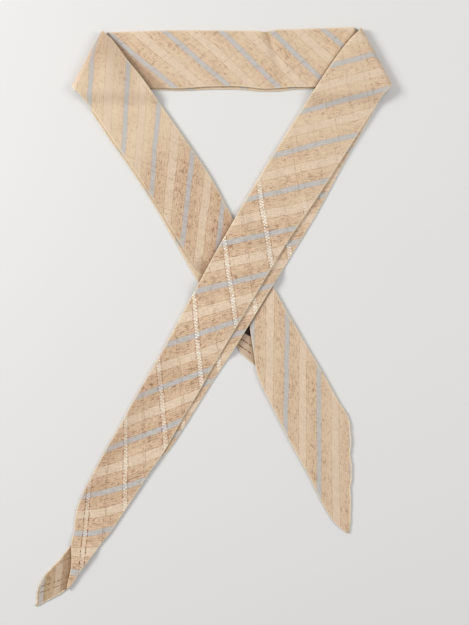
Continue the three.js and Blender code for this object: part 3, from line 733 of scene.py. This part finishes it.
def mark(tree, name):
    """One of the marks on the cloth's points."""
    return add(tree, "ShaderNodeAttribute", attribute_name=name).outputs["Fac"]


def new_material(name):
    """An empty material and its node tree."""
    material = bpy.data.materials.new(name)
    material.use_nodes = True
    material.node_tree.nodes.clear()
    return material, material.node_tree


def mixed(tree, share, ground, colour):
    """A colour socket with a share of another colour over it."""
    return add(tree, "ShaderNodeMix", {"Factor": share, "A": ground, "B": (*colour, 1)},
               data_type="RGBA").outputs["Result"]


def chart(ramp, stops):
    """Puts (place, colour, share of brown yarn) stops on a colour ramp. The share is its alpha."""
    while len(ramp.elements) > 1:
        ramp.elements.remove(ramp.elements[-1])
    for number, (place, colour, share) in enumerate(stops):
        element = ramp.elements[0] if number == 0 else ramp.elements.new(place)
        element.position = place
        element.color = (*colour, share)


def blend(one, other, share):
    """Colour between two others."""
    return tuple(a * (1 - share) + b * share for a, b in zip(one, other))


def repeat_stops(silk, beside, ground, cream):
    """Half a woven repeat, charted in mm from the middle of the grey-blue stripe.

    Grey-blue stripe, brown line, browner ground beside it, ground, cream stripe. The other half is its
    mirror image. The share says how much of the brown slub yarn there is.
    """
    line = blend(beside, silk.brown, 0.2)
    paler = blend(beside, ground, 0.6)
    half = [
        (0.0, silk.grey, 0.1), (2.05, silk.grey, 0.15), (2.35, line, 0.8), (2.9, paler, 1.0),
        (5.4, beside, 1.0), (6.6, beside, 1.0), (8.4, ground, 0.8), (11.9, ground, 0.7), (12.3, line, 0.5),
        (12.7, cream, 0.35), (16.25, cream, 0.2),
    ]
    return [(2 * place / REPEAT, colour, share) for place, colour, share in half]


# Brown yarns of the half repeat, in mm from the middle of the grey-blue stripe, and how strong
BROWN_YARNS = ((2.75, 0.7), (4.3, 0.8), (5.9, 0.75), (7.4, 0.5), (8.9, 0.55), (10.5, 0.45), (12.3, 0.9))
YARN_WIDTH = 1.15

# Broken lines across the repeat: place on a chart of so many mm from the white stripe, and how strong.
# The floats of the white stripe are dots of the length and width below.
LINE_CHART_WIDTH = 17.0
LINE_SHADES = ((0.0, 0), (0.095, 0), (0.12, 1), (0.14, 1), (0.165, 0), (0.86, 0), (0.91, 0.6), (0.96, 0))
DOT_LENGTH = 1.25
DOT_WIDTH = 1.5


def yarn_stops():
    """Thin lines on a ramp over half a repeat: each yarn is a sharp peak at its place."""
    stops = [(0.0, (0, 0, 0), 1)]
    for place, strong in BROWN_YARNS:
        for aside, level in ((-0.5, 0), (0, strong), (0.5, 0)):
            stops.append((2 * (place + aside * YARN_WIDTH) / REPEAT, (level,) * 3, 1))
    return stops


def wandering(tree, uv):
    """Cloth coordinates whose yarns wander by a fraction of a millimetre, so no stripe is a ruled line."""
    noise_colour = add(tree, "ShaderNodeTexNoise", {"Vector": uv, "Scale": 34.0, "Detail": 1.0})
    away = add(tree, "ShaderNodeVectorMath", {0: noise_colour.outputs["Color"], 1: (0.5, 0.5, 0.5)},
               operation="SUBTRACT")
    return add(tree, "ShaderNodeVectorMath", {0: away.outputs[0], 1: (0.0022, 0.0022, 0), 2: uv},
               operation="MULTIPLY_ADD").outputs[0]


def striped_ground(tree, silk, uv, place):
    """Stripes along one way of the weave, in a pale and a browner dyeing that meet in soft clouds.

    Gives the colour, how brown it is, and the chart's share of brown yarn.
    """
    pale = add(tree, "ShaderNodeValToRGB", {"Fac": place})
    chart(pale.color_ramp, repeat_stops(silk, silk.pink, silk.cream, silk.pale_stripe))
    browner = add(tree, "ShaderNodeValToRGB", {"Fac": place})
    chart(browner.color_ramp, repeat_stops(silk, silk.ochre, silk.tan, silk.cream_stripe))
    cloudy = maths(tree, "MULTIPLY_ADD", noise(tree, uv, 4.0, scale=26.0), 1.5, -0.75)
    tone = maths(tree, "ADD", cloudy, mark(tree, "tan"), clamp=True)
    ground = add(tree, "ShaderNodeMix", {"Factor": tone, "A": pale.outputs[0], "B": browner.outputs[0]},
                 data_type="RGBA").outputs["Result"]
    return ground, tone, pale.outputs["Alpha"]


def uneven_dye(tree, ground, moved, cross, calm):
    """Single yarns both ways are a little lighter or darker, drawn 1 mm wide: the dye looks uneven."""
    dye = noise(tree, scaled(tree, moved, (1150, 170, 0)), 3.0, 0.7)
    grain = ranged(tree, maths(tree, "ADD", dye, cross), 0.7, 1.3, 0.76, 1.24)
    grain = add(tree, "ShaderNodeMix", {"Factor": calm, 2: 1.0, 3: grain}, data_type="FLOAT").outputs[0]
    return add(tree, "ShaderNodeVectorMath", {0: ground, "Scale": grain}, operation="SCALE").outputs[0]


def brown_slubs(tree, silk, ground, place, streak, patch, calm):
    """Brown slub yarns, 0.3 mm wide in life and drawn 1 mm wide so that they show.

    They are dark only where the slub is thick, in dashes of a few millimetres.
    """
    yarns = add(tree, "ShaderNodeValToRGB", {"Fac": place})
    chart(yarns.color_ramp, yarn_stops())
    slub = maths(tree, "MULTIPLY", yarns.outputs[0], ranged(tree, streak, 0.48, 0.56))
    slub = maths(tree, "MULTIPLY", slub, calm)
    slub = maths(tree, "MULTIPLY", slub, ranged(tree, patch, 0.35, 0.6, 0.3, 1.0))
    return mixed(tree, slub, ground, silk.brown)


def cocoon_flecks(tree, silk, ground, moved, patch, share):
    """Dark flecks of cocoon left in the yarns, 1 mm by 2 to 3 mm, in loose clusters."""
    for stretch, strong in (((1050, 220, 0), 0.7), ((300, 1050, 9), 0.3)):
        fleck = noise(tree, scaled(tree, moved, stretch), 1.5)
        fleck = maths(tree, "MULTIPLY_ADD", patch, 0.2, fleck)
        fleck = maths(tree, "MULTIPLY", ranged(tree, fleck, 0.67, 0.76, 0.0, strong), share)
        ground = mixed(tree, fleck, ground, silk.slub)
    return ground


def from_white_stripe(tree, weft):
    """Distance in mm from the middle of the nearest white stripe, below 0 on one side of it."""
    turn = maths(tree, "MULTIPLY", weft, 1 / (REPEAT * MM))
    turn = maths(tree, "FRACT", maths(tree, "ADD", turn, 0.5))
    return maths(tree, "MULTIPLY", maths(tree, "SUBTRACT", turn, 0.5), REPEAT)


def broken_lines(tree, silk, ground, off, dash):
    """Thin broken brown lines the other way, and beside the white stripe."""
    line = add(tree, "ShaderNodeValToRGB", {"Fac": maths(tree, "MULTIPLY", off, 1 / LINE_CHART_WIDTH)})
    chart(line.color_ramp, [(at, (level,) * 3, 1) for at, level in LINE_SHADES])
    lined = maths(tree, "MULTIPLY", line.outputs[0], ranged(tree, dash, 0.46, 0.54))
    return mixed(tree, maths(tree, "MULTIPLY", lined, mark(tree, "lines")), ground, silk.slub)


def white_floats(tree, warp, aside, off, dash):
    """Share of the white stripe's floats: two columns of dots that alternate like a checkerboard."""
    along_dots = maths(tree, "MULTIPLY", warp, 1 / (DOT_LENGTH * MM))
    across_dots = maths(tree, "MULTIPLY", aside, 1 / DOT_WIDTH)
    cell = add(tree, "ShaderNodeCombineXYZ", {0: along_dots, 1: across_dots, 2: 0.5}).outputs[0]
    check = add(tree, "ShaderNodeTexChecker", {"Vector": cell, "Scale": 1.0}).outputs["Fac"]
    dotted = maths(tree, "MULTIPLY", check, ranged(tree, off, 1.65, 1.35))
    dotted = maths(tree, "MULTIPLY", dotted, mark(tree, "dots"), clamp=True)
    return maths(tree, "MULTIPLY", dotted, ranged(tree, dash, 0.36, 0.56, 0.15, 1.0))


def fold_shade(tree, silk, ground):
    """Painted highlight: folded edges are drawn paler. Painted shade: little light comes from inside a fold,
    or beside what lies on it, so there the cloth is drawn browner and at the deepest nearly black.
    """
    highlighted = maths(tree, "MULTIPLY", mark(tree, "fold_edge"), 0.6, clamp=True)
    ground = mixed(tree, highlighted, ground, silk.edge)
    # Painted contact shadow beside the edge of what lies on the cloth, added to the painted shade of the deep
    # mark.
    contact = ranged(tree, mark(tree, "clear"), 2.2, 0.4, 0.0, 0.62)
    shaded = maths(tree, "MAXIMUM", mark(tree, "deep"), contact)
    ground = mixed(tree, shaded, ground, silk.shade)
    return mixed(tree, ranged(tree, shaded, 0.68, 1.0, 0.0, 0.93), ground, silk.hollow)


def woven_silk(name, silk, reverse=False):
    """Plain woven silk of dyed slubby yarn: a soft low sheen, fine broken slubs and a plaid of stripes."""
    material, tree = new_material(name)
    uv = add(tree, "ShaderNodeUVMap", uv_map="cloth").outputs["UV"]
    moved = wandering(tree, uv)
    ways = add(tree, "ShaderNodeSeparateXYZ", {0: moved})
    warp, weft = ways.outputs[0], ways.outputs[1]
    place = maths(tree, "PINGPONG", maths(tree, "MULTIPLY", warp, 1 / (REPEAT * MM)), 0.5)
    place = maths(tree, "MULTIPLY", place, 2.0)
    patch = noise(tree, uv, 2.0, scale=110.0)
    streak = noise(tree, scaled(tree, moved, (800, 200, 0)), 4.0, 0.75)
    cross = noise(tree, scaled(tree, moved, (210, 1150, 3)), 3.0, 0.7)
    dash = noise(tree, scaled(tree, moved, (330, 500, 7)), 3.0)

    ground, tone, brown_share = striped_ground(tree, silk, uv, place)
    calm = maths(tree, "MULTIPLY_ADD", tone, 0.75, 0.32, clamp=True)
    ground = uneven_dye(tree, ground, moved, cross, calm)
    ground = brown_slubs(tree, silk, ground, place, streak, patch, calm)
    ground = cocoon_flecks(tree, silk, ground, moved, patch, maths(tree, "MULTIPLY", brown_share, calm))
    if reverse:
        # The reverse is duller, and the stripes show through it.
        dull = maths(tree, "MULTIPLY_ADD", brown_share, 0.34, 0.2)
        ground = mixed(tree, maths(tree, "MULTIPLY", dull, mark(tree, "tan")), ground, silk.reverse)
    aside = from_white_stripe(tree, weft)
    off = maths(tree, "ABSOLUTE", aside)
    ground = broken_lines(tree, silk, ground, off, dash)
    dotted = white_floats(tree, warp, aside, off, dash)
    ground = fold_shade(tree, silk, mixed(tree, dotted, ground, silk.white))

    # Yarn relief: slubs stand proud of the plain weave, and the white floats most of all.
    raised = maths(tree, "MULTIPLY_ADD", streak, 0.6, cross)
    raised = maths(tree, "MULTIPLY_ADD", dotted, 0.35, raised)
    bump = add(tree, "ShaderNodeBump", {"Height": raised, "Strength": 0.35, "Distance": 0.0003}).outputs[0]
    shader = add(tree, "ShaderNodeBsdfPrincipled", {
        "Base Color": ground, "Roughness": ranged(tree, streak, 0.3, 0.7, 0.42, 0.6), "Normal": bump,
        "Specular IOR Level": 0.35, "Sheen Weight": 0.12, "Sheen Roughness": 0.35})
    add(tree, "ShaderNodeOutputMaterial", {"Surface": shader.outputs[0]})
    return material


def plain_paper(name, colour):
    """Matt card of the studio floor, smooth rolled and evenly pale, with only a faint cloudiness."""
    material, tree = new_material(name)
    at = add(tree, "ShaderNodeTexCoord").outputs["Object"]
    shade = ranged(tree, noise(tree, at, 2.0, scale=3.0), 0.0, 1.0, 0.97, 1.0)
    tint = add(tree, "ShaderNodeVectorMath", {0: colour, "Scale": shade}, operation="SCALE").outputs[0]
    shader = add(tree, "ShaderNodeBsdfPrincipled", {"Base Color": tint, "Roughness": 0.85,
                                                    "Specular IOR Level": 0.2})
    add(tree, "ShaderNodeOutputMaterial", {"Surface": shader.outputs[0]})
    return material


def colour_property(name, description, hexa):
    """A colour setting whose default is an sRGB hex value turned to linear."""
    return bpy.props.FloatVectorProperty(name=name, description=description, subtype="COLOR", size=3,
                                         min=0, max=1, default=linear(hexa))


class CravatBand(bpy.types.PropertyGroup):
    """Sizes of the folded band."""
    cloth: bpy.props.FloatProperty(name="Cloth", description="Thickness of one ply of silk, in millimetres",
                                   default=0.22, min=0.1, max=0.5)


class CravatSilk(bpy.types.PropertyGroup):
    """Colours of the woven silk."""
    cream: colour_property("Cream ground", "Ground of the pale stretches", "dec8ac")
    pink: colour_property("Pink ground", "Ground beside the grey stripe on the pale stretches", "dec5a9")
    pale_stripe: colour_property("Pale stripe", "Cream stripe of the pale stretches", "dcc6ad")
    tan: colour_property("Tan ground", "Ground of the browner stretches", "dcbea1")
    ochre: colour_property("Ochre ground", "Ground beside the grey stripe on the browner stretches", "d6b798")
    cream_stripe: colour_property("Cream stripe", "Cream stripe of the browner stretches", "e4cdb4")
    grey: colour_property("Grey-blue stripe", "Narrow stripe of each repeat", "c2bdb9")
    brown: colour_property("Brown yarn", "Thin lines and slubs", "95653f")
    slub: colour_property("Dark slub", "Darkest broken lines and flecks", "86593a")
    white: colour_property("White floats", "Dots of the white stripe", "fbf7ee")
    # Colour of the painted highlight along each fold edge.
    edge: colour_property("Highlighted edge", "Pale rubbed line on each fold", "f3e3c4")
    reverse: colour_property("Reverse", "Duller colour of the back of the cloth", "8d7a58")
    shade: colour_property("Shade", "Warm brown of cloth in the shade of a fold", "7b4f2f")
    hollow: colour_property("Hollow", "Cloth where hardly any light reaches it", "2a1208")


class CravatStage(bpy.types.PropertyGroup):
    """Floor and light."""
    floor: colour_property("Floor", "Colour of the floor", "e6e6e6")
    key: bpy.props.FloatProperty(name="Key", description="Power of the lamps, before each one's share",
                                 default=18.9, unit="POWER")
    fill: bpy.props.FloatProperty(name="Fill", description="Strength of the even light", default=0.42, min=0)


def silk_material(context, reverse=False):
    """The face or the reverse of the silk, made once."""
    name = "woven silk reverse" if reverse else "woven silk face"
    return bpy.data.materials.get(name) or woven_silk(name, context.scene.cravat_silk, reverse)


def under_loop(stretch, columns, tan, dots=0.0, cloth_shift=(0.0, 0.0)):
    """The next layer: one flat loop from under the step out past the edge by the show column."""
    return stretch.loop(one_layer, columns, outer=stretch.show, inner=TUCK - SEAM_GAP, tan=tan, dots=dots,
                        cloth_shift=cloth_shift, wave=0.4)


class CRAVAT_OT_neck(bpy.types.Operator):
    """Make the neck stretch and the sliver of the next layer below it."""
    bl_idname = "cravat.neck"
    bl_label = "Neck stretch"

    def execute(self, context):
        silk = silk_material(context)
        stretch = Stretch("neck", NECK_ROWS)
        cloth_piece(context, "neck_cloth", packs(stretch, tan=0.35, deep=neck_shade), silk, "neck_stretch")
        sliver = Stretch("neck", NECK_ROWS, span=(-52, 88))
        loop = under_loop(sliver, round_the_pack(8, 6, 0.5), 0.25, cloth_shift=(12, 5))
        cloth_piece(context, "neck_under_cloth", [loop], silk, "neck_under_layer")
        return {"FINISHED"}


class CRAVAT_OT_left_tail(bpy.types.Operator):
    """Make the left tail, its next layer and the layer inside its open pocket."""
    bl_idname = "cravat.left_tail"
    bl_label = "Left tail"

    def execute(self, context):
        silk = silk_material(context)
        stretch = Stretch("left", LEFT_ROWS, fold=LEFT_FOLD, spread=(1.2, 1.6))
        # The rise of the tone in the tail's middle, next to the crossing, is painted shade; the rest is the
        # dyeing.
        tone = lambda along, across: 0.8 * smooth(along, 60, 130) - 0.4 * smooth(along, 200, 320)
        brown = lambda along: 0.12 + 0.22 * smooth(along, 60, 100) - 0.24 * smooth(along, 210, 260)
        hem = hem_piece(context, "left_hem", "left", LEFT_HEM, 0.6)
        loops = packs(stretch, tan=tone, lines=brown, puff=1.0, deep=left_shade)
        cloth_piece(context, "left_tail_cloth", loops, silk, "left_tail")
        sliver = Stretch("left", LEFT_ROWS, span=(22, 206))
        loop = under_loop(sliver, round_the_pack(8, 6, 0.5), 0.2, cloth_shift=(-7, 9))
        cloth_piece(context, "left_under_cloth", [loop], silk, "left_tail_under_layer")
        back = Stretch("left", LEFT_ROWS, span=(241, 289), step=1.5)
        front = Stretch("left", POCKET_ROWS, step=0.8)
        back_ply = lambda total, tuck: (OFF_TABLE, 0.42)
        front_ply = lambda total, tuck: (0.5, LAYER_THICK)
        # The back ply is painted nearly black all over: painted shade of the hole inside the pocket.
        loops = [
            back.loop(back_ply, round_the_pack(14, 8, 0.4), outer=back.show - 0.6, inner=TUCK - SEAM_GAP,
                      tan=0.5, wave=0, deep=1.0),
            front.loop(front_ply, round_the_pack(22, 8, 0.4), tan=0.1, lines=1.3, wave=0.3,
                       deep=pocket_shade, stripes="pocket"),
        ]
        hem = hem_piece(context, "pocket_hem", "left", POCKET_HEM, 0.5)
        cloth_piece(context, "left_inner_cloth", loops, silk_material(context, True),
                    "left_tail_inner_fold")
        return {"FINISHED"}


class CRAVAT_OT_right_tail(bpy.types.Operator):
    """Make the right tail, its next layer and the turned tip."""
    bl_idname = "cravat.right_tail"
    bl_label = "Right tail"

    def execute(self, context):
        silk = silk_material(context)
        stretch = Stretch("right", RIGHT_ROWS, fold=RIGHT_FOLD)
        tone = lambda along, across: 0.3 + 0.45 * smooth(along, 60, 190) + 0.15 * smooth(along, 240, 330)
        # White floats fade out in two steps down the tail's lower half.
        dots_fading = lambda along: 0.3 * smooth(along, 280, 340) + 0.3 * smooth(along, 440, 480)
        white = lambda along: smooth(along, 118, 150) * (1 - dots_fading(along))
        brown = lambda along: 0.3 + 0.3 * smooth(along, 118, 150) + 0.7 * smooth(along, 430, 480)
        loops = packs(stretch, tan=tone, dots=white, lines=brown, deep=right_shade)
        cloth_piece(context, "right_tail_cloth", loops, silk, "right_tail")
        sliver = Stretch("right", RIGHT_ROWS, span=(10, 381))
        loop = under_loop(sliver, round_the_pack(12, 6, 0.5), tone, white, (16, 32))
        cloth_piece(context, "right_under_cloth", [loop], silk, "right_tail_under_layer")
        tip = Stretch("right", TIP_ROWS, step=1.5, on_table=True)
        loop = tip.loop(one_layer, round_the_pack(20, 8, 0.5), tan=0.8, lines=0.95, wave=0.3,
                        deep=tip_shade, stripes="tip")
        hem = hem_piece(context, "tip_hem", "right", TIP_HEM, 0.6)
        cloth_piece(context, "right_tip_cloth", [loop], silk_material(context, True),
                    "right_tail_turned_tip")
        return {"FINISHED"}


# Half the floor's side, the camera's place, and the lamps: name, place, size and share of the key power
FLOOR_HALF = 3.0
CAMERA_PLACE = (0.0185, 0.0038, 1.2953)
LAMPS = (("lamp_left", (-1.25, 0.55, 0.95), 0.6, 1.0), ("lamp_right", (1.2, 0.2, 1.2), 0.9, 0.45))


def add_floor(context, stage):
    """A square of pale card under the cravat."""
    mesh = bpy.data.meshes.new("floor")
    half = FLOOR_HALF
    mesh.from_pydata([(-half, -half, 0), (half, -half, 0), (half, half, 0), (-half, half, 0)], [],
                     [(0, 1, 2, 3)])
    mesh.materials.append(plain_paper("matt floor card", tuple(stage.floor)))
    floor = bpy.data.objects.new("floor", mesh)
    context.scene.collection.objects.link(floor)


def add_light(context, stage):
    """Large soft lamps, each turned to the middle of the cravat, and an even light from all round."""
    for name, place, size, share in LAMPS:
        lamp = bpy.data.lights.new(name, "AREA")
        lamp.energy = stage.key * share
        lamp.size = size
        lamp.color = linear("fffdf9")
        holder = bpy.data.objects.new(name, lamp)
        holder.location = place
        x, y, z = place
        holder.rotation_euler = (math.atan2(math.hypot(x, y), z), 0, math.atan2(-y, -x) - math.pi / 2)
        context.scene.collection.objects.link(holder)
    world = bpy.data.worlds.new("even light")
    world.use_nodes = True
    back = world.node_tree.nodes["Background"]
    back.inputs["Color"].default_value = (1, 1, 1, 1)
    back.inputs["Strength"].default_value = stage.fill
    context.scene.world = world
    context.scene.view_settings.view_transform = "Standard"


def add_camera(context):
    """The camera straight above, as in the photo."""
    lens = bpy.data.cameras.new("camera")
    lens.lens = 85
    lens.sensor_fit = "VERTICAL"
    lens.sensor_height = 36
    lens.clip_start = 0.05
    camera = bpy.data.objects.new("camera", lens)
    camera.location = CAMERA_PLACE
    context.scene.collection.objects.link(camera)
    context.scene.camera = camera


class CRAVAT_OT_stage(bpy.types.Operator):
    """Make the pale floor, the soft lamps and the camera straight above."""
    bl_idname = "cravat.stage"
    bl_label = "Floor, light and camera"

    def execute(self, context):
        add_floor(context, context.scene.cravat_stage)
        add_light(context, context.scene.cravat_stage)
        add_camera(context)
        return {"FINISHED"}


class CRAVAT_PT_panel(bpy.types.Panel):
    """Lists the cravat's settings and steps."""
    bl_idname = "CRAVAT_PT_panel"
    bl_label = "Cravat"
    bl_space_type = "VIEW_3D"
    bl_region_type = "UI"
    bl_category = "Cravat"

    def draw(self, context):
        scene = context.scene
        for group in (scene.cravat_band, scene.cravat_silk, scene.cravat_stage):
            for key in group.bl_rna.properties.keys():
                if key not in ("rna_type", "name"):
                    self.layout.prop(group, key)
        for step in STEPS:
            self.layout.operator(step.bl_idname)


STEPS = (CRAVAT_OT_neck, CRAVAT_OT_left_tail, CRAVAT_OT_right_tail, CRAVAT_OT_stage)
GROUPS = {"cravat_band": CravatBand, "cravat_silk": CravatSilk, "cravat_stage": CravatStage}


def register():
    """Registers the settings, steps and panel."""
    for key, group in GROUPS.items():
        bpy.utils.register_class(group)
        setattr(bpy.types.Scene, key, bpy.props.PointerProperty(type=group))
    for item in (*STEPS, CRAVAT_PT_panel):
        bpy.utils.register_class(item)


def unregister():
    """Takes the settings, steps and panel out again."""
    for item in (CRAVAT_PT_panel, *reversed(STEPS)):
        bpy.utils.unregister_class(item)
    for key, group in GROUPS.items():
        delattr(bpy.types.Scene, key)
        bpy.utils.unregister_class(group)


def main():
    register()
    bpy.ops.cravat.neck()
    bpy.ops.cravat.left_tail()
    bpy.ops.cravat.right_tail()
    bpy.ops.cravat.stage()


if __name__ == "__main__":
    main()
